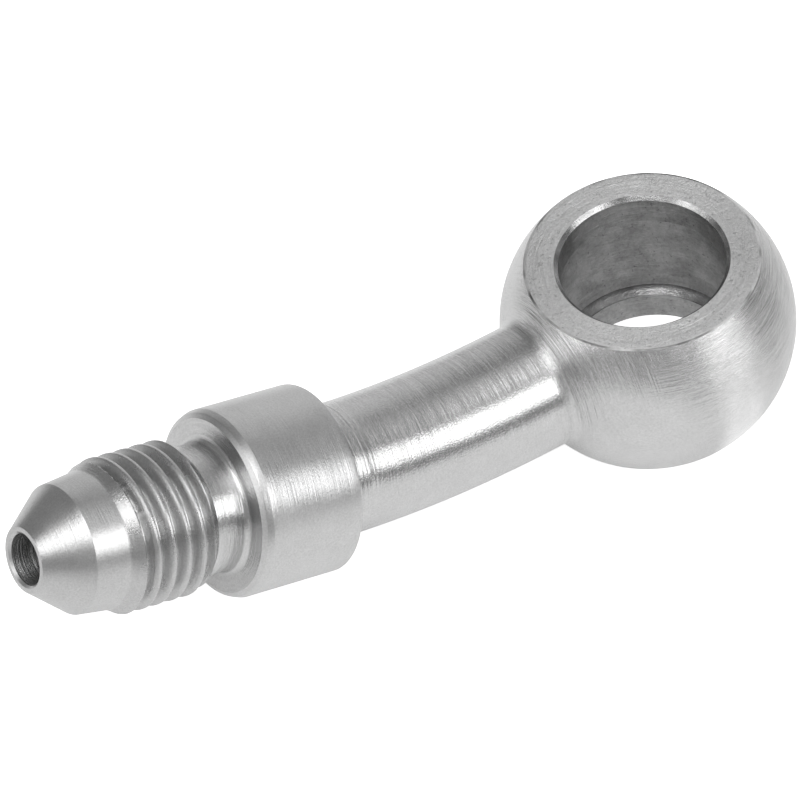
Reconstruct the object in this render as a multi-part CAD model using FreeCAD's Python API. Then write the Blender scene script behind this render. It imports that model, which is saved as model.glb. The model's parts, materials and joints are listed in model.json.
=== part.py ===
import FreeCAD, Part
import os
from math import atan2, cos, degrees, hypot, radians, sin, sqrt, tan
from FreeCAD import Placement, Rotation, Vector

# A banjo fitting: an eye for a hollow bolt, a bent neck and a male flare end for a hose nut.
# It is turned, drilled and bent from one bar, so it is one solid.
# Lengths are in millimetres and angles in degrees.

# Eye: a ball cut flat on two sides, bored for the bolt, with a groove that gathers the fluid.
# The bore, its chamfer and the flat ring that a crush washer seals on set the ball's diameter.
bore_d = 10.4
bore_chamfer = 0.25
seal_width = 1.75
eye_thickness = 11.2
groove_width = 7.0
groove_depth = 0.7
groove_corner = 0.6

# Neck: leaves the eye's middle straight, then bends up in one arc as far as the collar.
neck_d = 8.2
neck_straight = 6.0
bend_r = 58.5
bend_angle = 18.8
neck_fillet_r = 0.8

# Collar: the round stop that the hose nut runs up to. Its front edge is a chamfer behind which
# tumbling has worn a shallow slope.
collar_d = 11.7
collar_length = 7.0
collar_chamfer_length = 0.2
collar_chamfer_depth = 0.3
collar_slope_length = 0.4
collar_slope_depth = 0.15

# Relief between the collar and the thread.
relief_d = 8.0
relief_width = 2.15
relief_corner = 0.3

# Thread: 3/8-24 UNF, drawn at its outer diameter, with a chamfer at each end.
thread_d = 9.525
thread_length = 6.45
thread_back_chamfer_angle = 45.0
thread_front_chamfer_angle = 27.0

# Nose and sealing cone.
nose_back_d = 8.5
nose_front_d = 8.0
nose_length = 2.15
cone_half_angle = 37.0
tip_d = 4.1

# Flow passage, from the tip through the neck into the eye's groove.
passage_d = 3.2
passage_chamfer = 0.15

# Broken edges: the eye's two face rims and the collar's back edge.
edge_break = 0.1

# The flat ring's outer radius, and the ball whose flats it is on once their edge is broken.
face_rim_r = bore_d / 2 + bore_chamfer + seal_width
ball_r = hypot(face_rim_r + edge_break, eye_thickness / 2)

# Places along the flare end, from the collar's back face.
relief_start = collar_length
thread_start = relief_start + relief_width
nose_start = thread_start + thread_length
cone_start = nose_start + nose_length
cone_length = (nose_front_d - tip_d) / 2 / tan(radians(cone_half_angle))
tip_end = cone_start + cone_length

# The neck's end, where the collar starts, in the eye's frame: the hole along Z, the neck along X.
bend_centre = Vector(neck_straight, 0, bend_r)
neck_end = Vector(
    neck_straight + bend_r * sin(radians(bend_angle)),
    0,
    bend_r * (1 - cos(radians(bend_angle))),
)
flare_place = Placement(neck_end, Rotation(Vector(0, 1, 0), -bend_angle))


def turned(points, axis):
    """A closed outline of (X, Z) points, turned once about an axis through the origin."""
    corners = [Vector(x, 0, z) for x, z in points]
    face = Part.Face(Part.makePolygon(corners + corners[:1]))
    return face.revolve(Vector(0, 0, 0), axis, 360)


def eye_blank():
    """The ball with its two flats, still solid; a small chamfer joins each flat to the ball."""
    half = eye_thickness / 2
    rim_height = half - edge_break
    rim_r = sqrt(ball_r**2 - rim_height**2)
    corners = [
        Vector(rim_r, 0, -rim_height),
        Vector(face_rim_r, 0, -half),
        Vector(0, 0, -half),
        Vector(0, 0, half),
        Vector(face_rim_r, 0, half),
        Vector(rim_r, 0, rim_height),
    ]
    ball_side = Part.Arc(corners[-1], Vector(ball_r, 0, 0), corners[0]).toShape()
    outline = Part.Wire(Part.makePolygon(corners).Edges + [ball_side])
    return Part.Face(outline).revolve(Vector(0, 0, 0), Vector(0, 0, 1), 360)


def bent_rod(radius):
    """A round rod along the neck's centre line, from the eye's centre to the collar."""
    straight = Part.makeCylinder(radius, neck_straight, Vector(0, 0, 0), Vector(1, 0, 0))
    ring = Part.Wire(Part.makeCircle(radius, Vector(neck_straight, 0, 0), Vector(1, 0, 0)))
    bend = Part.Face(ring).revolve(bend_centre, Vector(0, 1, 0), -bend_angle)
    return straight.fuse(bend)


def flare_end():
    """Collar, relief, thread, nose and cone, turned as one bar along X from the collar's back face."""
    collar_r = collar_d / 2
    relief_r = relief_d / 2
    thread_r = thread_d / 2
    back_rise = (thread_r - relief_r) / tan(radians(thread_back_chamfer_angle))
    front_fall = (thread_r - nose_back_d / 2) / tan(radians(thread_front_chamfer_angle))
    outline = [
        (0, 0),
        (0, collar_r - edge_break),
        (edge_break, collar_r),
        (collar_length - collar_chamfer_length - collar_slope_length, collar_r),
        (collar_length - collar_chamfer_length, collar_r - collar_slope_depth),
        (relief_start, collar_r - collar_slope_depth - collar_chamfer_depth),
        (relief_start, relief_r + relief_corner),
        (relief_start + relief_corner, relief_r),
        (thread_start, relief_r),
        (thread_start + back_rise, thread_r),
        (nose_start - front_fall, thread_r),
        (nose_start, nose_back_d / 2),
        (cone_start, nose_front_d / 2),
        (tip_end, tip_d / 2),
        (tip_end, 0),
    ]
    body = turned(outline, Vector(1, 0, 0))
    body.Placement = flare_place
    return body


def eye_bore():
    """What the boring bar takes out of the eye: the bolt hole, its two chamfers and the groove."""
    half = eye_thickness / 2
    bore_r = bore_d / 2
    groove_r = bore_r + groove_depth
    groove_half = groove_width / 2
    upper_side = [
        (0, half),
        (bore_r + bore_chamfer, half),
        (bore_r, half - bore_chamfer),
        (bore_r, groove_half),
        (groove_r - groove_corner, groove_half),
        (groove_r, groove_half - groove_corner),
    ]
    lower_side = [(radius, -height) for radius, height in reversed(upper_side)]
    return turned(upper_side + lower_side, Vector(0, 0, 1))


def flow_passage():
    """The drilled way, with its chamfered mouth at the tip; it opens into the eye's groove."""
    passage_r = passage_d / 2
    outline = [
        (0, 0),
        (0, passage_r),
        (tip_end - passage_chamfer, passage_r),
        (tip_end, passage_r + passage_chamfer),
        (tip_end, 0),
    ]
    drilled = turned(outline, Vector(1, 0, 0))
    drilled.Placement = flare_place
    return drilled.fuse(bent_rod(passage_r))


def neck_joint(shape):
    """The edges where the neck leaves the ball: all their points lie on the ball, round the neck."""
    found = []
    for edge in shape.Edges:
        points = edge.discretize(9)
        on_ball = all(abs(point.Length - ball_r) < 0.01 for point in points)
        round_neck = all(abs(hypot(point.y, point.z) - neck_d / 2) < neck_d / 10 for point in points)
        if on_ball and round_neck:
            found.append(edge)
    return found


def banjo_fitting():
    """The whole fitting in the eye's frame: the outside is fused and filleted, then bored and drilled."""
    blank = eye_blank().fuse([bent_rod(neck_d / 2), flare_end()]).removeSplitter()
    # A larger fillet than this would run over the ball's edge onto the flats.
    rim_height = eye_thickness / 2 - edge_break
    widest_fillet = ball_r * (rim_height - neck_d / 2) / (ball_r - rim_height)
    blank = blank.makeFillet(min(neck_fillet_r, 0.9 * widest_fillet), neck_joint(blank))
    return blank.cut([eye_bore(), flow_passage()])


def rest_tilt():
    """How far the eye's face tips when the fitting lies on that face's rim and the collar's back edge."""
    rim = Vector(face_rim_r, 0, -eye_thickness / 2)
    collar = flare_place.multVec(Vector(edge_break, 0, -collar_d / 2))
    return degrees(atan2(collar.z - rim.z, collar.x - rim.x))


# The fitting lies on a bench: two rounded edges touch it, and its box is centred over the origin.
fitting = banjo_fitting()
laid = Placement(Vector(0, 0, 0), Rotation(Vector(0, 1, 0), rest_tilt()))
fitting = fitting.transformed(laid.toMatrix())
box = fitting.optimalBoundingBox(True, False)
seat = Vector(-box.Center.x, 0, -box.ZMin)
fitting.translate(seat)
laid = Placement(seat, laid.Rotation)

os.makedirs("parts", exist_ok=True)
fitting.exportStep("parts/banjo_fitting.step")

# Places of the interfaces as the fitting lies, and the solid's own checks.
flare = laid.multiply(flare_place)
print("valid", fitting.isValid(), "solids", len(fitting.Solids), "volume", round(fitting.Volume, 3))
print("box", fitting.optimalBoundingBox(True, False))
print("eye centre", laid.multVec(Vector(0, 0, 0)), "hole axis", laid.Rotation.multVec(Vector(0, 0, 1)))
print("thread middle", flare.multVec(Vector(thread_start + thread_length / 2, 0, 0)))
print("cone middle", flare.multVec(Vector(cone_start + cone_length / 2, 0, 0)))
print("tip", flare.multVec(Vector(tip_end, 0, 0)), "thread axis", flare.Rotation.multVec(Vector(1, 0, 0)))
print("tilt", rest_tilt())
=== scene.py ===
import json
from math import acos, asin, atan2, ceil, cos, hypot, pi, radians, sin, sqrt, tan

import bmesh
import bpy
from mathutils import Matrix, Vector


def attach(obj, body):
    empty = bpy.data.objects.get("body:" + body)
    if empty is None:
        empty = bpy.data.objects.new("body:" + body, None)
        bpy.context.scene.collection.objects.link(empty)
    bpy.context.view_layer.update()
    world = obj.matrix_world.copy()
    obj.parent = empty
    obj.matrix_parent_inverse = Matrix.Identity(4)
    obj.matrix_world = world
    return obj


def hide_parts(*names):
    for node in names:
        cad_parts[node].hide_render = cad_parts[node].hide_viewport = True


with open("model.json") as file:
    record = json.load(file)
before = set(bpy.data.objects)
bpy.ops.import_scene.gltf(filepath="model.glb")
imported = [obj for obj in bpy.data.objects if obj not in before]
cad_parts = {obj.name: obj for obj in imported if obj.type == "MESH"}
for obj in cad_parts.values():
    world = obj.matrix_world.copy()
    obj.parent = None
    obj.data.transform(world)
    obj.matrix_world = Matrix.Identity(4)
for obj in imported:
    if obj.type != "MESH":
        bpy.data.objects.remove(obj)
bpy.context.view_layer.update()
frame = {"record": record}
MM = 0.001

# The bar that everything is cut from, with the eye at one end and the hose nut's end at the other.
# Its centre line leaves the eye's middle straight and then bends up in one arc; the interfaces in
# the frame's record give the eye's place, the hole's axis and the way the hose end points.
mounts = {mount["name"]: mount for mount in frame["record"]["mounts"]}
eye_centre = Vector(mounts["banjo_bore"]["pos_m"])
hole_axis = Vector(mounts["banjo_bore"]["axis"]).normalized()
if hole_axis.z < 0:
    hole_axis = -hole_axis
flare_axis = Vector(mounts["flare_thread"]["axis"]).normalized()
side_axis = Vector((0, 1, 0))
neck_axis = side_axis.cross(hole_axis).normalized()
lie = Matrix((neck_axis, side_axis, hole_axis)).transposed().to_4x4()
lie.translation = eye_centre

NECK_STRAIGHT = 6.0 * MM
BEND_R = 58.5 * MM
bend_angle = atan2(flare_axis.dot(hole_axis), flare_axis.dot(neck_axis))
neck_length = NECK_STRAIGHT + BEND_R * bend_angle


def bar_point(along, out, turn):
    """A point at a distance along the bar, a radius out from its middle and an angle from the top."""
    if along < NECK_STRAIGHT:
        centre, lean = Vector((along, 0, 0)), 0.0
    elif along < neck_length:
        lean = (along - NECK_STRAIGHT) / BEND_R
        centre = Vector((NECK_STRAIGHT + BEND_R * sin(lean), 0, BEND_R * (1 - cos(lean))))
    else:
        lean = bend_angle
        beyond = along - neck_length
        centre = Vector((NECK_STRAIGHT + BEND_R * sin(lean), 0, BEND_R * (1 - cos(lean))))
        centre += beyond * Vector((cos(lean), 0, sin(lean)))
    up = Vector((-sin(lean), 0, cos(lean)))
    return centre + out * (cos(turn) * up + sin(turn) * side_axis)


# The skin is laid in rings of points, and each pair of rings is joined by a band of faces.
corners = []
faces = []
finishes = []
alongs = []


def lay(points, along=0.0):
    """Add points and give their numbers."""
    first = len(corners)
    corners.extend(points)
    alongs.extend([along] * len(points))
    return list(range(first, len(corners)))


def band(ring_a, ring_b, finish, closed=True):
    """Faces between two rings of as many points."""
    count = len(ring_a)
    for i in range(count if closed else count - 1):
        j = (i + 1) % count
        faces.append((ring_a[i], ring_a[j], ring_b[j], ring_b[i]))
        finishes.append(finish)


# The eye: a ball cut flat on two sides, forged and turned in one with the neck. Its skin starts as a
# patch round the neck, bounded by both flats and by two upright lines, and goes on round the back.
EYE_HALF = 5.6 * MM
EDGE = 0.1 * MM
BORE_R = 5.2 * MM
BORE_CHAMFER = 0.25 * MM
FACE_R = BORE_R + BORE_CHAMFER + 1.75 * MM
BALL_R = hypot(FACE_R + EDGE, EYE_HALF)
RIM_BREAK = 0.04 * MM
RIM_Z = EYE_HALF - RIM_BREAK
RIM_R = sqrt(BALL_R**2 - RIM_Z**2)
PATCH_TURN = radians(60)
ACROSS = 52
UPRIGHT = 44
BACK = 104

rim_slope = RIM_R / RIM_Z
corner_turn = atan2(rim_slope * sin(PATCH_TURN), 1.0)


def across_turn(step):
    """The azimuth of a column over the patch, between even azimuths and even turns round the neck."""
    share = 2 * step / ACROSS - 1
    even_round_neck = asin(max(-1.0, min(1.0, tan(corner_turn * share) / rim_slope)))
    return (PATCH_TURN * share + even_round_neck) / 2


across = [across_turn(step) for step in range(ACROSS + 1)]
across[0] = -PATCH_TURN
across[-1] = PATCH_TURN
behind = [PATCH_TURN + (2 * pi - 2 * PATCH_TURN) * step / BACK for step in range(BACK + 1)]
round_eye = across[:-1] + behind[:-1]
rim_tilt = asin(RIM_Z / BALL_R)


def eye_ring(out, height):
    """A ring of the eye's turned section."""
    return lay([Vector((out * cos(turn), out * sin(turn), height)) for turn in round_eye])


def upright_ring(top, bottom, point):
    """Rows between an upper and a lower ring, each given by its share of the way down."""
    rows = [top]
    for step in range(1, UPRIGHT):
        rows.append(lay([point(turn, step / UPRIGHT) for turn in behind]))
    rows.append(bottom)
    return rows


def ball_point(turn, share):
    """A point of the ball at an azimuth and a share of the way down from the upper rim."""
    tilt = rim_tilt * (1 - 2 * share)
    return BALL_R * Vector((cos(tilt) * cos(turn), cos(tilt) * sin(turn), sin(tilt)))


def patch_border(top, rows, bottom):
    """The patch's border as a loop round the neck, from the top over the +Y side."""
    middle = ACROSS // 2
    loop = top[middle:ACROSS + 1]
    loop += [row[0] for row in rows]
    loop += bottom[ACROSS::-1][: ACROSS + 1]
    loop += [row[-1] for row in reversed(rows)]
    loop += top[:middle]
    return loop


def shell(top, bottom, point, finish):
    """The round wall between two rings behind the patch, and the border that the patch fills."""
    back_top = top[ACROSS:] + top[:1]
    back_bottom = bottom[ACROSS:] + bottom[:1]
    rows = upright_ring(back_top, back_bottom, point)
    for upper, lower in zip(rows, rows[1:]):
        band(upper, lower, finish, closed=False)
    return patch_border(top, rows[1:-1], bottom)


upper_rim = eye_ring(RIM_R, RIM_Z)
lower_rim = eye_ring(RIM_R, -RIM_Z)
ball_border = shell(upper_rim, lower_rim, ball_point, "ball")
columns = [atan2(corners[i].y, corners[i].z) % (2 * pi) for i in ball_border]

# Where the neck leaves the ball a small fillet joins them, as a ball rolled round the joint leaves it.
NECK_R = 4.1 * MM
FILLET_R = 0.8 * MM
FILLET_ROWS = 8
PATCH_ROWS = 20


def rolled(turn):
    """The rolling ball's centre at an angle round the neck, and its distance along the bar."""
    near, far = 0.0, 2 * BALL_R
    for _ in range(60):
        middle = (near + far) / 2
        if bar_point(middle, NECK_R + FILLET_R, turn).length < BALL_R + FILLET_R:
            near = middle
        else:
            far = middle
    return bar_point(near, NECK_R + FILLET_R, turn), near


def between(first, last, share):
    """A direction between two others, turned by a share of the angle that parts them."""
    angle = first.angle(last)
    return (sin((1 - share) * angle) * first + sin(share * angle) * last) / sin(angle)


fillet_rows = [[] for _ in range(FILLET_ROWS + 1)]
for turn in columns:
    centre, along = rolled(turn)
    to_ball = -centre.normalized()
    to_neck = (bar_point(along, NECK_R, turn) - centre).normalized()
    for step in range(FILLET_ROWS + 1):
        fillet_rows[step].append(centre + FILLET_R * between(to_ball, to_neck, step / FILLET_ROWS))
fillet_along = max(rolled(turn)[1] for turn in columns)
fillet_rings = [lay(points, fillet_along) for points in fillet_rows]
patch_rings = [ball_border]
for step in range(PATCH_ROWS - 1, 0, -1):
    share = step / PATCH_ROWS
    points = []
    for border, foot in zip(ball_border, fillet_rows[0]):
        points.append(BALL_R * between(foot.normalized(), corners[border].normalized(), share))
    patch_rings.append(lay(points))
patch_rings.append(fillet_rings[0])
for upper, lower in zip(patch_rings, patch_rings[1:]):
    band(upper, lower, "ball")
for upper, lower in zip(fillet_rings, fillet_rings[1:]):
    band(upper, lower, "ball")

# The neck runs from the fillet to the collar. Its columns even out on the way, to suit the thread.
NECK_STEP = 0.3 * MM
COLUMNS = len(columns)


def even_columns(share):
    """The angles round the bar, moved by a share of the way to even ones."""
    moved = []
    for i, turn in enumerate(columns):
        even = 2 * pi * i / COLUMNS
        moved.append(turn + share * (even - turn))
    return moved


def bar_ring(along, out, share=1.0):
    """A ring round the bar."""
    return lay([bar_point(along, out, turn) for turn in even_columns(share)], along)


neck_start = fillet_along + NECK_STEP / 2
neck_steps = ceil((neck_length - neck_start) / NECK_STEP)
ring = fillet_rings[-1]
for step in range(neck_steps + 1):
    share = step / neck_steps
    following = bar_ring(neck_start + share * (neck_length - neck_start), NECK_R, min(1.0, 1.5 * share))
    band(ring, following, "neck")
    ring = following

# Collar, relief, nose and cone: turned in one setting. Each outline corner has its own small radius,
# as tumbling leaves it. The thread's band is rolled between the relief and the nose.
COLLAR_R = 5.85 * MM
COLLAR_LENGTH = 7.0 * MM
SLOPE_LENGTH = 0.4 * MM
SLOPE_DEPTH = 0.15 * MM
COLLAR_CHAMFER_LENGTH = 0.2 * MM
COLLAR_CHAMFER_DEPTH = 0.3 * MM
RELIEF_R = 4.0 * MM
RELIEF_WIDTH = 2.15 * MM
RELIEF_CORNER = 0.4 * MM
THREAD_LENGTH = 6.45 * MM
NOSE_BACK_R = 4.25 * MM
NOSE_FRONT_R = 4.0 * MM
NOSE_LENGTH = 2.15 * MM
CONE_ANGLE = radians(37)
TIP_R = 2.05 * MM
PASSAGE_R = 1.6 * MM
PASSAGE_CHAMFER = 0.15 * MM
RING_STEP = 0.35 * MM

thread_start = COLLAR_LENGTH + RELIEF_WIDTH
nose_start = thread_start + THREAD_LENGTH
cone_start = nose_start + NOSE_LENGTH
tip_end = cone_start + (NOSE_FRONT_R - TIP_R) / tan(CONE_ANGLE)


def rounded(outline):
    """An outline of (along, out, radius) corners as points, with arcs and even steps between."""
    points = [Vector(outline[0][:2])]
    for before, here, after in zip(outline, outline[1:], outline[2:]):
        corner = Vector(here[:2])
        back = (Vector(before[:2]) - corner).normalized()
        on = (Vector(after[:2]) - corner).normalized()
        half = acos(max(-1.0, min(1.0, back.dot(on)))) / 2
        reach = here[2] / tan(half)
        if here[2] == 0:
            points.append(corner)
            continue
        centre = corner + (back + on).normalized() * here[2] / sin(half)
        start = corner + back * reach - centre
        end = corner + on * reach - centre
        opening = start.angle(end)
        steps = max(2, ceil(opening / radians(15)))
        for step in range(steps + 1):
            share = step / steps
            turned = (sin((1 - share) * opening) * start + sin(share * opening) * end) / sin(opening)
            points.append(centre + turned)
    points.append(Vector(outline[-1][:2]))
    spaced = points[:1]
    for here, after in zip(points, points[1:]):
        steps = max(1, ceil((after - here).length / RING_STEP))
        spaced.extend(here.lerp(after, step / steps) for step in range(1, steps + 1))
    return spaced


def turned(outline, first, finish):
    """A turned stretch of the bar, on from a ring that is there already."""
    ring = first
    for along, out in rounded(outline)[1:]:
        following = bar_ring(neck_length + along, out)
        band(ring, following, finish)
        ring = following
    return ring


collar_outline = [
    (0, NECK_R, 0),
    (0, COLLAR_R, 0.12 * MM),
    (COLLAR_LENGTH - COLLAR_CHAMFER_LENGTH - SLOPE_LENGTH, COLLAR_R, 0.15 * MM),
    (COLLAR_LENGTH - COLLAR_CHAMFER_LENGTH, COLLAR_R - SLOPE_DEPTH, 0.1 * MM),
    (COLLAR_LENGTH, COLLAR_R - SLOPE_DEPTH - COLLAR_CHAMFER_DEPTH, 0),
]
front_outline = [
    (COLLAR_LENGTH, COLLAR_R - SLOPE_DEPTH - COLLAR_CHAMFER_DEPTH, 0),
    (COLLAR_LENGTH, RELIEF_R + RELIEF_CORNER, 0),
]
relief_outline = [
    (COLLAR_LENGTH, RELIEF_R + RELIEF_CORNER, 0),
    (COLLAR_LENGTH, RELIEF_R, RELIEF_CORNER * 0.99),
    (thread_start, RELIEF_R, 0),
]
ring = turned(collar_outline, ring, "collar")
ring = turned(front_outline, ring, "front")
turned(relief_outline, ring, "relief")

nose_outline = [
    (nose_start, NOSE_BACK_R, 0),
    (cone_start, NOSE_FRONT_R, 0.06 * MM),
    (tip_end, TIP_R, 0.06 * MM),
    (tip_end, PASSAGE_R + PASSAGE_CHAMFER, 0.03 * MM),
    (tip_end - PASSAGE_CHAMFER, PASSAGE_R, 0),
]
nose_first = bar_ring(neck_length + nose_start, NOSE_BACK_R)
mouth = turned(nose_outline, nose_first, "nose")

# The bore: chamfered at both faces, with a groove inside that gathers the fluid for the passage.
GROOVE_HALF = 3.5 * MM
GROOVE_R = BORE_R + 0.7 * MM
SEAT_ROWS = 6
LAND_ROWS = 5


def eye_rows(points, first, finish, side):
    """Rings of the eye's section, upper side or lower side, on from a ring that is there already."""
    ring = first
    for out, height in points:
        following = eye_ring(out, side * height)
        band(ring, following, finish)
        ring = following
    return ring


seat_r = BORE_R + BORE_CHAMFER
seat = [(FACE_R + (seat_r - FACE_R) * step / SEAT_ROWS, EYE_HALF) for step in range(SEAT_ROWS + 1)]
land_top = EYE_HALF - BORE_CHAMFER
land = []
for step in range(LAND_ROWS + 1):
    land.append((BORE_R, land_top + (GROOVE_HALF - land_top) * step / LAND_ROWS))
# Its corner is a flat chamfer that runs out softly into the wall: how far in from the wall each point
# is and how high, in millimetres.
corner_flat = (0.62, 3.5), (0.4, 3.28), (0.24, 3.12), (0.15, 2.99)
corner_soft = (0.09, 2.8), (0.04, 2.45), (0.01, 2), (0, 1.5)
groove_corner = []
for inward, height in corner_flat + corner_soft:
    groove_corner.append((GROOVE_R - inward * MM, height * MM))
floor_half = groove_corner[-1][1]
groove_rims = []
for side, rim in ((1, upper_rim), (-1, lower_rim)):
    ring = eye_rows(seat[:1], rim, "rim", side)
    ring = eye_rows(seat[1:], ring, "face", side)
    ring = eye_rows(land[:1], ring, "edge", side)
    ring = eye_rows(land[1:], ring, "bore", side)
    ring = eye_rows(groove_corner[:len(corner_flat)], ring, "edge", side)
    ring = eye_rows(groove_corner[len(corner_flat):], ring, "bore", side)
    groove_rims.append(ring)


def groove_point(turn, share):
    """A point of the groove's floor."""
    return Vector((GROOVE_R * cos(turn), GROOVE_R * sin(turn), floor_half * (1 - 2 * share)))


groove_border = shell(groove_rims[0], groove_rims[1], groove_point, "bore")

# The flow passage is drilled from the tip along the bent neck and opens into the groove.
PORT_ROWS = 10
PASSAGE_STEP = 0.8 * MM
port_turns = [2 * pi * i / COLUMNS for i in range(COLUMNS)]
port = []
for turn in port_turns:
    across_port = PASSAGE_R * sin(turn)
    port.append(Vector((sqrt(GROOVE_R**2 - across_port**2), across_port, PASSAGE_R * cos(turn))))
port_rings = [groove_border]
for step in range(1, PORT_ROWS + 1):
    share = step / PORT_ROWS
    points = []
    for border, edge in zip(groove_border, port):
        start = corners[border]
        azimuth = (1 - share) * atan2(start.y, start.x) + share * atan2(edge.y, edge.x)
        height = (1 - share) * start.z + share * edge.z
        points.append(Vector((GROOVE_R * cos(azimuth), GROOVE_R * sin(azimuth), height)))
    port_rings.append(lay(points))
for upper, lower in zip(port_rings, port_rings[1:]):
    band(upper, lower, "bore")
ring = port_rings[-1]
passage_start = GROOVE_R + PASSAGE_STEP / 2
passage_end = neck_length + tip_end - PASSAGE_CHAMFER
passage_steps = ceil((passage_end - passage_start) / PASSAGE_STEP)
for step in range(passage_steps):
    along = passage_start + step / passage_steps * (passage_end - passage_start)
    following = bar_ring(along, PASSAGE_R)
    band(ring, following, "passage")
    ring = following
band(ring, mouth, "passage")


class Sum:
    """A value in a node tree, so that an expression on values adds its Math nodes."""

    def __init__(self, tree, socket):
        self.tree = tree
        self.socket = socket

    def node(self, kind, settings=None, output=0, **inputs):
        """Any node of the tree: its settings, then its inputs by name or by number."""
        made = self.tree.nodes.new(kind)
        for name, value in (settings or {}).items():
            setattr(made, name, value)
        for name, value in inputs.items():
            key = int(name[1:]) if name[0] == "_" and name[1:].isdigit() else name.replace("_", " ")
            feed(self.tree, made.inputs[key], value)
        return Sum(self.tree, made.outputs[output]) if made.outputs else None

    def maths(self, operation, *values):
        made = self.tree.nodes.new("ShaderNodeMath")
        made.operation = operation
        for socket, value in zip(made.inputs, values):
            feed(self.tree, socket, value)
        return Sum(self.tree, made.outputs[0])

    def __add__(self, other):
        return self.maths("ADD", self, other)

    def __radd__(self, other):
        return self.maths("ADD", other, self)

    def __sub__(self, other):
        return self.maths("SUBTRACT", self, other)

    def __rsub__(self, other):
        return self.maths("SUBTRACT", other, self)

    def __mul__(self, other):
        return self.maths("MULTIPLY", self, other)

    def __rmul__(self, other):
        return self.maths("MULTIPLY", other, self)

    def __truediv__(self, other):
        return self.maths("DIVIDE", self, other)

    def clamp(self):
        return self.maths("MINIMUM", self.maths("MAXIMUM", self, 0.0), 1.0)


def feed(tree, socket, value):
    """Link a value to a socket, or set the socket's own number."""
    if isinstance(value, Sum):
        tree.links.new(value.socket, socket)
    else:
        socket.default_value = value


# The thread is rolled on the turned blank: 3/8-24, right-hand. Its band is a grid laid along the
# helix, one column for each column of the bar, so that its crests and flanks are crisp all round.
THREAD_R = 4.7625 * MM
PITCH = 25.4 / 24 * MM
CREST_AT = 9.785 * MM
TURN_ROWS = 24
CREST_ROWS = 1.6
FLANK_ROWS = 9.6
THREAD_DEPTH = 0.65 * MM
BACK_ANGLE = radians(45)
FRONT_ANGLE = radians(34)
FRONT_SWEEP = 0.25 * MM
PLAIN_FRONT = 0.7 * MM
RUN_OUT = 0.45 * MM
STRAIGHT_SHARE = 0.25
RAGGED_SCALE = 14.0
RAGGED_SHARE = 0.8


def thread_tree(finish):
    """The node group that draws the thread, and the lengths that it is given."""
    tree = bpy.data.node_groups.new("rolled_thread", "GeometryNodeTree")
    lengths = {
        "Start": thread_start,
        "End": nose_start,
        "Outer radius": THREAD_R,
        "Back radius": RELIEF_R,
        "Front radius": NOSE_BACK_R,
        "Pitch": PITCH,
        "Depth": THREAD_DEPTH,
        "Crest at": CREST_AT,
        "Back slope": tan(BACK_ANGLE),
        "Front slope": tan(FRONT_ANGLE),
        "Front sweep": FRONT_SWEEP,
        "Plain front": PLAIN_FRONT,
        "Run-out": RUN_OUT,
    }
    for name in lengths:
        tree.interface.new_socket(name, in_out="INPUT", socket_type="NodeSocketFloat")
    tree.interface.new_socket("Mesh", in_out="OUTPUT", socket_type="NodeSocketGeometry")
    given = tree.nodes.new("NodeGroupInput")
    size = {name: Sum(tree, given.outputs[name]) for name in lengths}
    start, end, pitch = size["Start"], size["End"], size["Pitch"]
    at = size["Crest at"]
    # Rows start one crest spacing back from the first whole crest spacing before the start.
    first = at - pitch * at.maths("CEIL", (at - start) / pitch)
    rows = at.maths("CEIL", (end - first + pitch) / pitch) * TURN_ROWS
    span = rows * (pitch / TURN_ROWS)
    grid = start.node(
        "GeometryNodeMeshGrid",
        Size_X=span,
        Size_Y=2 * pi,
        Vertices_X=rows + 1,
        Vertices_Y=COLUMNS + 1,
    )
    place = start.node("GeometryNodeInputPosition")
    split = tree.nodes.new("ShaderNodeSeparateXYZ")
    feed(tree, split.inputs[0], place)
    helix = Sum(tree, split.outputs["X"]) + span * 0.5 + first
    turn = Sum(tree, split.outputs["Y"]) + pi
    along = helix - pitch * turn / (2 * pi)
    along = along.maths("MINIMUM", along.maths("MAXIMUM", along, start), end)
    # Height of the turned blank, then of the helical form, then the shallower of the two.
    back = size["Back radius"] + (along - start) * size["Back slope"]
    before_end = end - along
    swept = before_end * before_end / (before_end + size["Front sweep"])
    front = size["Front radius"] + swept * size["Front slope"]
    blank = along.maths("MINIMUM", along.maths("MINIMUM", back, front), size["Outer radius"])
    phase = helix.maths("PINGPONG", (helix - at) / pitch, 0.5) * TURN_ROWS
    down = ((phase - CREST_ROWS) / FLANK_ROWS).clamp()
    soft = down * down * (3 - 2 * down)
    fall = (STRAIGHT_SHARE * down + (1 - STRAIGHT_SHARE) * soft) * size["Depth"]
    round_bar = start.node(
        "ShaderNodeCombineXYZ", X=turn.maths("SINE", turn), Y=turn.maths("COSINE", turn)
    )
    # Before the nose the grooves run out, not quite evenly all round.
    ragged = start.node("ShaderNodeTexNoise", output="Fac", Vector=round_bar, Scale=RAGGED_SCALE, Detail=2.0)
    run_out = (before_end - size["Plain front"]) / size["Run-out"]
    fade = (run_out + (ragged - 0.5) * RAGGED_SHARE).clamp()
    cut = size["Outer radius"] - fall
    floor = blank - size["Depth"] * fade
    out = cut.maths("MINIMUM", blank, cut.maths("MAXIMUM", cut, floor))
    joined = start.node(
        "ShaderNodeCombineXYZ",
        X=along,
        Y=out * turn.maths("SINE", turn),
        Z=out * turn.maths("COSINE", turn),
    )
    placed = start.node("GeometryNodeSetPosition", Geometry=grid, Position=joined)
    closed = start.node("GeometryNodeMergeByDistance", Geometry=placed, Distance=0.0005 * MM)
    real = start.node("GeometryNodeRealizeInstances", Geometry=closed)
    coated = start.node("GeometryNodeSetMaterial", Geometry=real, Material=finish)
    result = tree.nodes.new("NodeGroupOutput")
    feed(tree, result.inputs[0], coated)
    return tree, lengths


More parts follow.
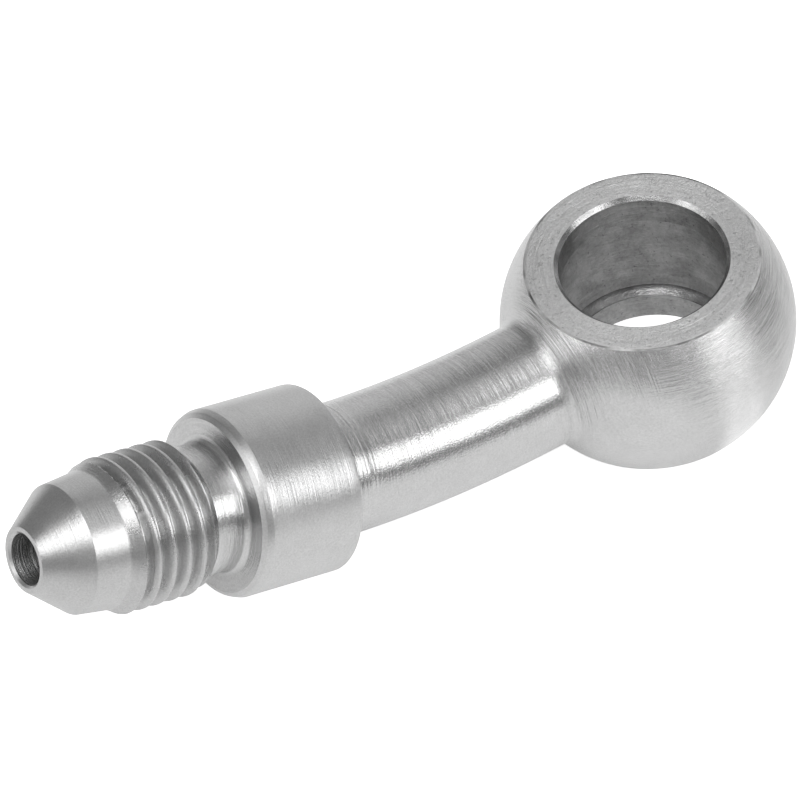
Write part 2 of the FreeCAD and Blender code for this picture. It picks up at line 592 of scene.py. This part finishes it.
def baked(name, tree, values):
    """The mesh that a tree makes, as a plain mesh."""
    holder = bpy.data.objects.new(name, bpy.data.meshes.new(name))
    bpy.context.scene.collection.objects.link(holder)
    modifier = holder.modifiers.new(name, "NODES")
    modifier.node_group = tree
    for item in tree.interface.items_tree:
        if item.item_type == "SOCKET" and item.name in values:
            modifier[item.identifier] = values[item.name]
    shaped = holder.evaluated_get(bpy.context.evaluated_depsgraph_get())
    mesh = bpy.data.meshes.new_from_object(shaped)
    bpy.data.objects.remove(holder)
    return mesh


thread_steel = bpy.data.materials.new("thread_steel")
tree, lengths = thread_tree(thread_steel)
thread_mesh = baked("thread", tree, lengths)
first = len(corners)
slope = Vector((cos(bend_angle), 0, sin(bend_angle)))
rise = Vector((-sin(bend_angle), 0, cos(bend_angle)))
root = bar_point(neck_length, 0, 0)
for vertex in thread_mesh.vertices:
    along, aside, above = vertex.co
    corners.append(root + along * slope + aside * side_axis + above * rise)
    alongs.append(neck_length + along)
for polygon in thread_mesh.polygons:
    faces.append(tuple(first + i for i in polygon.vertices))
    finishes.append("thread")

# The finished piece: one closed skin that stands for the solid of the frame.
names = ["ball", "rim", "face", "edge", "bore", "neck"]
names += ["collar", "front", "relief", "thread", "nose", "passage"]
mesh = bpy.data.meshes.new("fitting_skin")
mesh.from_pydata([lie @ corner for corner in corners], [], faces)
for name in names:
    if name == "thread":
        mesh.materials.append(thread_steel)
    else:
        mesh.materials.append(bpy.data.materials.new(name + "_steel"))
for polygon, finish in zip(mesh.polygons, finishes):
    polygon.material_index = names.index(finish)
along_mark = mesh.attributes.new("along", "FLOAT", "POINT")
along_mark.data.foreach_set("value", alongs)
work = bmesh.new()
work.from_mesh(mesh)
bmesh.ops.remove_doubles(work, verts=work.verts, dist=0.0005 * MM)
bmesh.ops.recalc_face_normals(work, faces=work.faces)
work.to_mesh(mesh)
work.free()
mesh.shade_smooth()
mesh.set_sharp_from_angle(angle=radians(28))
fitting = bpy.data.objects.new("fitting", mesh)
bpy.context.scene.collection.objects.link(fitting)
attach(fitting, "root")
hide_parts("banjo_fitting")

# The steel: one bare stainless bar, so one metal, with the marks that each tool left on it. The lathe
# drew rings round the neck, the hose end and the bore, a belt that ran round the hole dressed the ball,
# and tumbling left a fine grain. Lines too fine to be seen one by one tilt the normal across them.
METAL = 0.53
UNSEEN = 150.0
FLARE_POINT = lie @ bar_point(neck_length, 0, 0)


def steel(material, shade, roughness):
    """A bare steel surface, and the coordinates that its marks are drawn on, in millimetres."""
    material.use_nodes = True
    tree = material.node_tree
    shader = tree.nodes["Principled BSDF"]
    shader.inputs["Metallic"].default_value = 1.0
    value = METAL * shade
    shader.inputs["Base Color"].default_value = (value, value, value, 1)
    shader.inputs["Roughness"].default_value = roughness
    start = Sum(tree, None)
    place = start.node("ShaderNodeTexCoord", output="Object")
    in_eye = start.node("ShaderNodeMapping", {"vector_type": "TEXTURE"}, Vector=place,
                        Location=lie.translation, Rotation=lie.to_euler(), Scale=(MM, MM, MM))
    marked = start.node("ShaderNodeAttribute", {"attribute_name": "along"}, output="Fac")
    split = tree.nodes.new("ShaderNodeSeparateXYZ")
    feed(tree, split.inputs[0], in_eye)
    x, y, z = [Sum(tree, socket) for socket in split.outputs]
    return shader, start, in_eye, x, y, z, marked / MM


def noise(start, vector, scale, detail=2.0, roughness=0.5):
    """A cloudy field from 0 to 1."""
    return start.node("ShaderNodeTexNoise", output="Fac", Vector=vector, Scale=scale,
                      Detail=detail, Roughness=roughness)


def drawn(start, across, y, z, density, length):
    """Fine lines: a field that changes fast across them and slowly along them."""
    vector = start.node("ShaderNodeCombineXYZ", X=across * density, Y=y / length, Z=z / length)
    return noise(start, vector, 1.0, 2.0, 0.6)


def vector_maths(start, operation, output="Vector", **inputs):
    """A Vector Math node."""
    return start.node("ShaderNodeVectorMath", {"operation": operation}, output=output, **inputs)


def tool_lines(start, normal, axis, point, slope):
    """Tilt a normal by a slope across lines that run round an axis through a point."""
    place = start.node("ShaderNodeTexCoord", output="Object")
    from_axis = vector_maths(start, "SUBTRACT", _0=place, _1=point)
    round_axis = vector_maths(start, "CROSS_PRODUCT", _0=axis, _1=from_axis)
    across = vector_maths(start, "CROSS_PRODUCT", _0=round_axis, _1=normal)
    across = vector_maths(start, "NORMALIZE", _0=across)
    tilt = vector_maths(start, "SCALE", _0=across, Scale=slope)
    return vector_maths(start, "NORMALIZE", _0=vector_maths(start, "ADD", _0=normal, _1=tilt))


def distance_out(start, axis, point):
    """The distance from an axis through a point, in millimetres."""
    place = start.node("ShaderNodeTexCoord", output="Object")
    from_axis = vector_maths(start, "SUBTRACT", _0=place, _1=point)
    round_axis = vector_maths(start, "CROSS_PRODUCT", _0=axis, _1=from_axis)
    return vector_maths(start, "LENGTH", output="Value", _0=round_axis) / MM


def pitted(start, place, density, share):
    """1 in small pits scattered over the surface, 0 elsewhere."""
    return ((noise(start, place, density, 2.0, 0.6) - (1.0 - share)) * 14.0).clamp()


def raised(start, shader, normal, height, depth):
    """Raise the surface by a field times a depth."""
    bump = start.node("ShaderNodeBump", output="Normal", Strength=1.0, Distance=depth,
                      Height=height, Normal=normal)
    feed(start.tree, shader.inputs["Normal"], bump)


def tinted(start, shader, value):
    """A grey from a value."""
    colour = start.node("ShaderNodeCombineColor", Red=value, Green=value, Blue=value)
    feed(start.tree, shader.inputs["Base Color"], colour)


def finish_turned(material, shade, roughness, lines, depth, grain, density, ring_shade):
    """Lathe work: the tilt of its unseen lines, the depth of its rings and grain, and the painted shade
    along its rings.
    """
    shader, start, place, x, y, z, along = steel(material, shade, roughness)
    normal = start.node("ShaderNodeNewGeometry", output="Normal")
    out = distance_out(start, flare_axis, FLARE_POINT)
    slope = (drawn(start, along - out, y, z, UNSEEN, 3.0) - 0.5) * lines
    normal = tool_lines(start, normal, flare_axis, FLARE_POINT, slope)
    rings = drawn(start, along - out, y, z, density, 2.5)
    speckle = noise(start, place, 9.0, 2.0)
    cloud = noise(start, place, 0.7, 3.0)
    raised(start, shader, normal, rings + grain * speckle, depth * MM)
    grey = METAL * shade * (0.7 + 0.16 * cloud + 0.46 * speckle)
    # Painted shade: the colour is darker along the rings.
    tinted(start, shader, grey * (1 - ring_shade * rings))
    feed(start.tree, shader.inputs["Roughness"], roughness * (0.85 + 0.3 * cloud))


def finish_neck(material):
    """Fine rings all along the bend, and deeper ones where the lathe stopped at the collar."""
    shader, start, place, x, y, z, along = steel(material, 1.0, 0.24)
    normal = start.node("ShaderNodeNewGeometry", output="Normal")
    slope = (drawn(start, along, y, z, UNSEEN, 3.0) - 0.5) * 1.6
    tilt = vector_maths(start, "SCALE", _0=neck_axis.lerp(flare_axis, 0.5), Scale=slope)
    normal = vector_maths(start, "NORMALIZE", _0=vector_maths(start, "ADD", _0=normal, _1=tilt))
    rings = drawn(start, along, y, z, 12.0, 2.5)
    steps = drawn(start, along, y, z, 2.2, 40.0)
    near_collar = ((along - neck_length / MM + 2.6) / 0.8).clamp()
    speckle = noise(start, place, 9.0, 2.0)
    cloud = noise(start, place, 0.7, 3.0)
    marks = 0.25 * rings + 10.0 * near_collar * steps + 0.9 * speckle
    raised(start, shader, normal, marks, 0.012 * MM)
    tinted(start, shader, METAL * (0.72 + 0.14 * cloud + 0.42 * speckle))
    feed(start.tree, shader.inputs["Roughness"], 0.17 + 0.06 * cloud)


def finish_ball(material):
    """Belt lines round the hole, which give way to the lathe's rings near the neck, and grain."""
    shader, start, place, x, y, z, along = steel(material, 1.0, 0.27)
    near_neck = ((x - 1.0) / 4.0).clamp()
    normal = start.node("ShaderNodeNewGeometry", output="Normal")
    belt_slope = (drawn(start, z, x, y, UNSEEN, 3.0) - 0.5) * 3.4 * (1 - near_neck)
    ring_slope = (drawn(start, x, y, z, UNSEEN, 3.0) - 0.5) * 3.2 * near_neck
    normal = tool_lines(start, normal, hole_axis, eye_centre, belt_slope)
    normal = tool_lines(start, normal, neck_axis, eye_centre, ring_slope)
    belt = drawn(start, z, x, y, 14.0, 2.0)
    rings = drawn(start, x, y, z, 12.0, 2.0)
    lines = 0.15 * belt * (1 - near_neck) + 0.15 * rings * near_neck
    speckle = noise(start, place, 7.0, 3.0, 0.7)
    cloud = noise(start, place, 0.6, 3.0)
    raised(start, shader, normal, lines + speckle, 0.014 * MM)
    tinted(start, shader, METAL * (0.67 + 0.16 * cloud + 0.5 * speckle))
    feed(start.tree, shader.inputs["Roughness"], 0.2 + 0.06 * cloud)


def finish_rim(material):
    """The broken edge of each flat: dark in places, painted shade along the edge in its colour."""
    shader, start, place, x, y, z, along = steel(material, 0.55, 0.5)
    # Painted shade: dark patches in the edge's colour, brighter steel between.
    tinted(start, shader, METAL * 1.5 * (3.2 * noise(start, place, 0.45, 3.0) - 0.9).clamp())


def finish_face(material):
    """The flats: faced in fine rings, then dulled and pitted by tumbling."""
    shader, start, place, x, y, z, along = steel(material, 1.0, 0.5)
    radius = x.maths("SQRT", x * x + y * y)
    normal = start.node("ShaderNodeNewGeometry", output="Normal")
    slope = (drawn(start, radius, x, y, UNSEEN, 4.0) - 0.5) * 3.6
    normal = tool_lines(start, normal, hole_axis, eye_centre, slope)
    speckle = noise(start, place, 6.0, 3.0, 0.7)
    cloud = noise(start, place, 0.8, 3.0)
    raised(start, shader, normal, speckle, 0.07 * MM)
    pits = pitted(start, place, 4.0, 0.38)
    tinted(start, shader, METAL * (0.82 + 0.14 * cloud + 0.76 * speckle) * (1 - 0.3 * pits))
    feed(start.tree, shader.inputs["Roughness"], 0.38 + 0.12 * cloud)


def finish_edge(material):
    """The bore's chamfers, bright and dark by turns: painted glints and painted shade in their colour."""
    shader, start, place, x, y, z, along = steel(material, 1.0, 0.24)
    normal = start.node("ShaderNodeNewGeometry", output="Normal")
    slope = (drawn(start, z, x, y, UNSEEN, 4.0) - 0.5) * 0.5
    normal = tool_lines(start, normal, hole_axis, eye_centre, slope)
    raised(start, shader, normal, noise(start, place, 6.0, 3.0, 0.7), 0.02 * MM)
    # Painted glints and shade: the colour swings from dark to brighter than the steel.
    tinted(start, shader, METAL * (0.05 + 1.5 * noise(start, place, 0.7, 3.0)))


def finish_bore(material):
    """The bored walls: coarse rings, stains and pits, and a colour darker than the outer steel, painted
    shade in the hole.
    """
    shader, start, place, x, y, z, along = steel(material, 0.85, 0.33)
    normal = start.node("ShaderNodeNewGeometry", output="Normal")
    slope = (drawn(start, z, x, y, UNSEEN, 4.0) - 0.5) * 3.5
    normal = tool_lines(start, normal, hole_axis, eye_centre, slope)
    rings = drawn(start, z, x, y, 7.0, 3.0)
    speckle = noise(start, place, 5.0, 3.0, 0.7)
    cloud = noise(start, place, 0.7, 4.0, 0.6)
    raised(start, shader, normal, rings + 0.9 * speckle, 0.015 * MM)
    pits = pitted(start, place, 4.0, 0.36)
    # Painted shade: the walls' colour is darker than the outer steel, over their stains and pits.
    tinted(start, shader, METAL * (0.9 * cloud + 0.6 * speckle - 0.03) * (1 - 0.4 * pits))


finishers = {
    "ball": finish_ball,
    "rim": finish_rim,
    "face": finish_face,
    "edge": finish_edge,
    "bore": finish_bore,
    "neck": finish_neck,
}
for name, finisher in finishers.items():
    finisher(mesh.materials[names.index(name)])
# Shade, roughness, tilt of the unseen lines, depth in millimetres, grain, rings to a millimetre, painted
# shade along the rings.
turned_finishes = {
    "collar": (1.0, 0.32, 1.0, 0.007, 1.0, 9.0, 0.0),
    "front": (1.2, 0.25, 1.6, 0.04, 0.3, 4.5, 0.3),
    "relief": (1.03, 0.22, 1.2, 0.012, 0.6, 7.0, 0.0),
    "nose": (0.98, 0.32, 0.8, 0.007, 1.0, 9.0, 0.0),
    "thread": (0.92, 0.28, 1.8, 0.01, 1.2, 9.0, 0.0),
    # The passage's low shade is painted shade: the drilling's colour is darker than the outer steel.
    "passage": (0.7, 0.45, 5.0, 0.03, 1.2, 4.0, 0.0),
}
for name, values in turned_finishes.items():
    finish_turned(mesh.materials[names.index(name)], *values)

# The table: a wide white floor. It is white to the camera and dimmer in the steel, and it still takes
# the fitting's soft shadow where the lamps light it. Its colour and glow are a painted pool of light that
# fades away from the fitting, and a painted spill of lamp light glows on it in a wedge toward azimuth -155.
TABLE = 3.0
TABLE_GLOW = 0.34
TABLE_SPILL = 0.4
TABLE_LIFT = 0.5
TABLE_NEAR = 0.8
TABLE_FAR = 0.5
SPILL_AZIMUTH = radians(-155)
table_mesh = bpy.data.meshes.new("table")
edge = TABLE / 2
table_corners = [(-edge, -edge, 0), (edge, -edge, 0), (edge, edge, 0), (-edge, edge, 0)]
table_mesh.from_pydata(table_corners, [], [(0, 1, 2, 3)])
table = bpy.data.objects.new("table", table_mesh)
bpy.context.scene.collection.objects.link(table)
white = bpy.data.materials.new("white_table")
white.use_nodes = True
white.node_tree.nodes.clear()
board = Sum(white.node_tree, None)
path = white.node_tree.nodes.new("ShaderNodeLightPath")
seen = Sum(white.node_tree, path.outputs["Is Camera Ray"])
seen = (seen + Sum(white.node_tree, path.outputs["Is Glossy Ray"])
        + Sum(white.node_tree, path.outputs["Is Transmission Ray"])).clamp()
direct = Sum(white.node_tree, path.outputs["Is Camera Ray"])
spot = board.node("ShaderNodeTexCoord", output="Object")
from_eye = vector_maths(board, "SUBTRACT", _0=spot, _1=(eye_centre.x, eye_centre.y, 0.0))
distance = vector_maths(board, "LENGTH", output="Value", _0=from_eye)
# Painted pool of light: the floor's colour and glow fall off with distance from the eye.
fade = board.node("ShaderNodeMapRange", {"interpolation_type": "SMOOTHSTEP"}, Value=distance,
                  From_Min=0.02, From_Max=0.11, To_Min=TABLE_NEAR, To_Max=TABLE_FAR)
# Painted spill of lamp light: a wedge of glow on the floor toward azimuth -155 from the eye.
spill_way = vector_maths(board, "NORMALIZE", _0=from_eye)
spill_side = vector_maths(board, "DOT_PRODUCT", output="Value", _0=spill_way,
                          _1=(sin(SPILL_AZIMUTH), -cos(SPILL_AZIMUTH), 0.0))
spill = board.node("ShaderNodeMapRange", {"interpolation_type": "SMOOTHSTEP"}, Value=spill_side,
                   From_Min=cos(radians(19)), From_Max=cos(radians(4)))
pool = board.node("ShaderNodeCombineColor", Red=fade, Green=fade, Blue=fade)
plain = board.node("ShaderNodeBsdfDiffuse", Color=pool)
level = seen * (TABLE_GLOW * fade / TABLE_NEAR + TABLE_SPILL * spill) + direct * TABLE_LIFT
glow = board.node("ShaderNodeEmission", Color=(1, 1, 1, 1), Strength=level)
both = board.node("ShaderNodeAddShader", _0=plain, _1=glow)
board.node("ShaderNodeOutputMaterial", Surface=both)
table_mesh.materials.append(white)

# The studio: dim walls with four paler places, which the steel shows as soft bands, and two soft lamps
# for the highlights along the neck and down the ball.
WALL_LEVEL = 0.27
world = bpy.data.worlds.new("studio")
bpy.context.scene.world = world
world.use_nodes = True
world.node_tree.nodes.clear()
room = Sum(world.node_tree, None)


def toward(azimuth, elevation):
    """The direction of a place in the studio, from its azimuth and elevation in degrees."""
    a, e = radians(azimuth), radians(elevation)
    return Vector((sin(a) * cos(e), -cos(a) * cos(e), sin(e)))


def patch_of(way, azimuth, elevation, inner, outer):
    """1 inside a cone of directions round a place, falling to 0 at its outer angle."""
    facing = room.node("ShaderNodeVectorMath", {"operation": "DOT_PRODUCT"}, output="Value",
                       _0=way, _1=toward(azimuth, elevation))
    return room.node("ShaderNodeMapRange", {"interpolation_type": "SMOOTHSTEP"}, Value=facing,
                     From_Min=cos(radians(outer)), From_Max=cos(radians(inner)))


way = room.node("ShaderNodeTexCoord", output="Generated")
# Each paler place: its level above the walls, azimuth, elevation, inner and outer angle.
pale_places = [(0.6, -50, 8, 8, 52), (0.75, -160, 76, 5, 38), (0.12, 140, 30, 5, 40), (2.2, 84, 16, 4, 26)]
walls = WALL_LEVEL
for level, azimuth, elevation, inner, outer in pale_places:
    walls = walls + level * patch_of(way, azimuth, elevation, inner, outer)
shown = room.node("ShaderNodeBackground", Color=(1, 1, 1, 1), Strength=walls)
room.node("ShaderNodeOutputWorld", Surface=shown)

LAMP_DISTANCE = 1.2


def softbox(name, azimuth, elevation, width, height, level):
    """A soft lamp that fills an angle of width by height, in degrees, at a brightness of level."""
    data = bpy.data.lights.new(name, "AREA")
    data.shape = "RECTANGLE"
    data.size = 2 * LAMP_DISTANCE * tan(radians(width / 2))
    data.size_y = 2 * LAMP_DISTANCE * tan(radians(height / 2))
    data.energy = level * pi * data.size * data.size_y
    lamp = bpy.data.objects.new(name, data)
    bpy.context.scene.collection.objects.link(lamp)
    way_out = toward(azimuth, elevation)
    lamp.location = way_out * LAMP_DISTANCE
    lamp.rotation_euler = way_out.to_track_quat("Z", "Y").to_euler()
    lamp.visible_camera = False


softbox("right_lamp", -154, 33, 36, 29, 2.9)
softbox("left_lamp", 121, 60, 34, 42, 2.4)

# The camera: a long lens that looks down on the flare end from the left.
AIM = Vector((0.406, 0.0, 9.065)) * MM
CAMERA_AZIMUTH = radians(144.238)
CAMERA_ELEVATION = radians(44.037)
CAMERA_DISTANCE = 415.139 * MM
CAMERA_ROLL = radians(3.4536)
LENS = 308.488
camera_data = bpy.data.cameras.new("camera")
camera_data.lens = LENS
camera_data.sensor_width = 36.0
camera_data.clip_start = 0.01
camera_data.clip_end = 20.0
camera = bpy.data.objects.new("camera", camera_data)
bpy.context.scene.collection.objects.link(camera)
away = Vector((
    sin(CAMERA_AZIMUTH) * cos(CAMERA_ELEVATION),
    -cos(CAMERA_AZIMUTH) * cos(CAMERA_ELEVATION),
    sin(CAMERA_ELEVATION),
))
level = away.to_track_quat("Z", "Y").to_matrix().to_4x4()
camera.matrix_world = (
    Matrix.Translation(AIM + CAMERA_DISTANCE * away) @ level @ Matrix.Rotation(CAMERA_ROLL, 4, "Z")
)
bpy.context.scene.camera = camera

bpy.context.scene.view_settings.view_transform = "Standard"
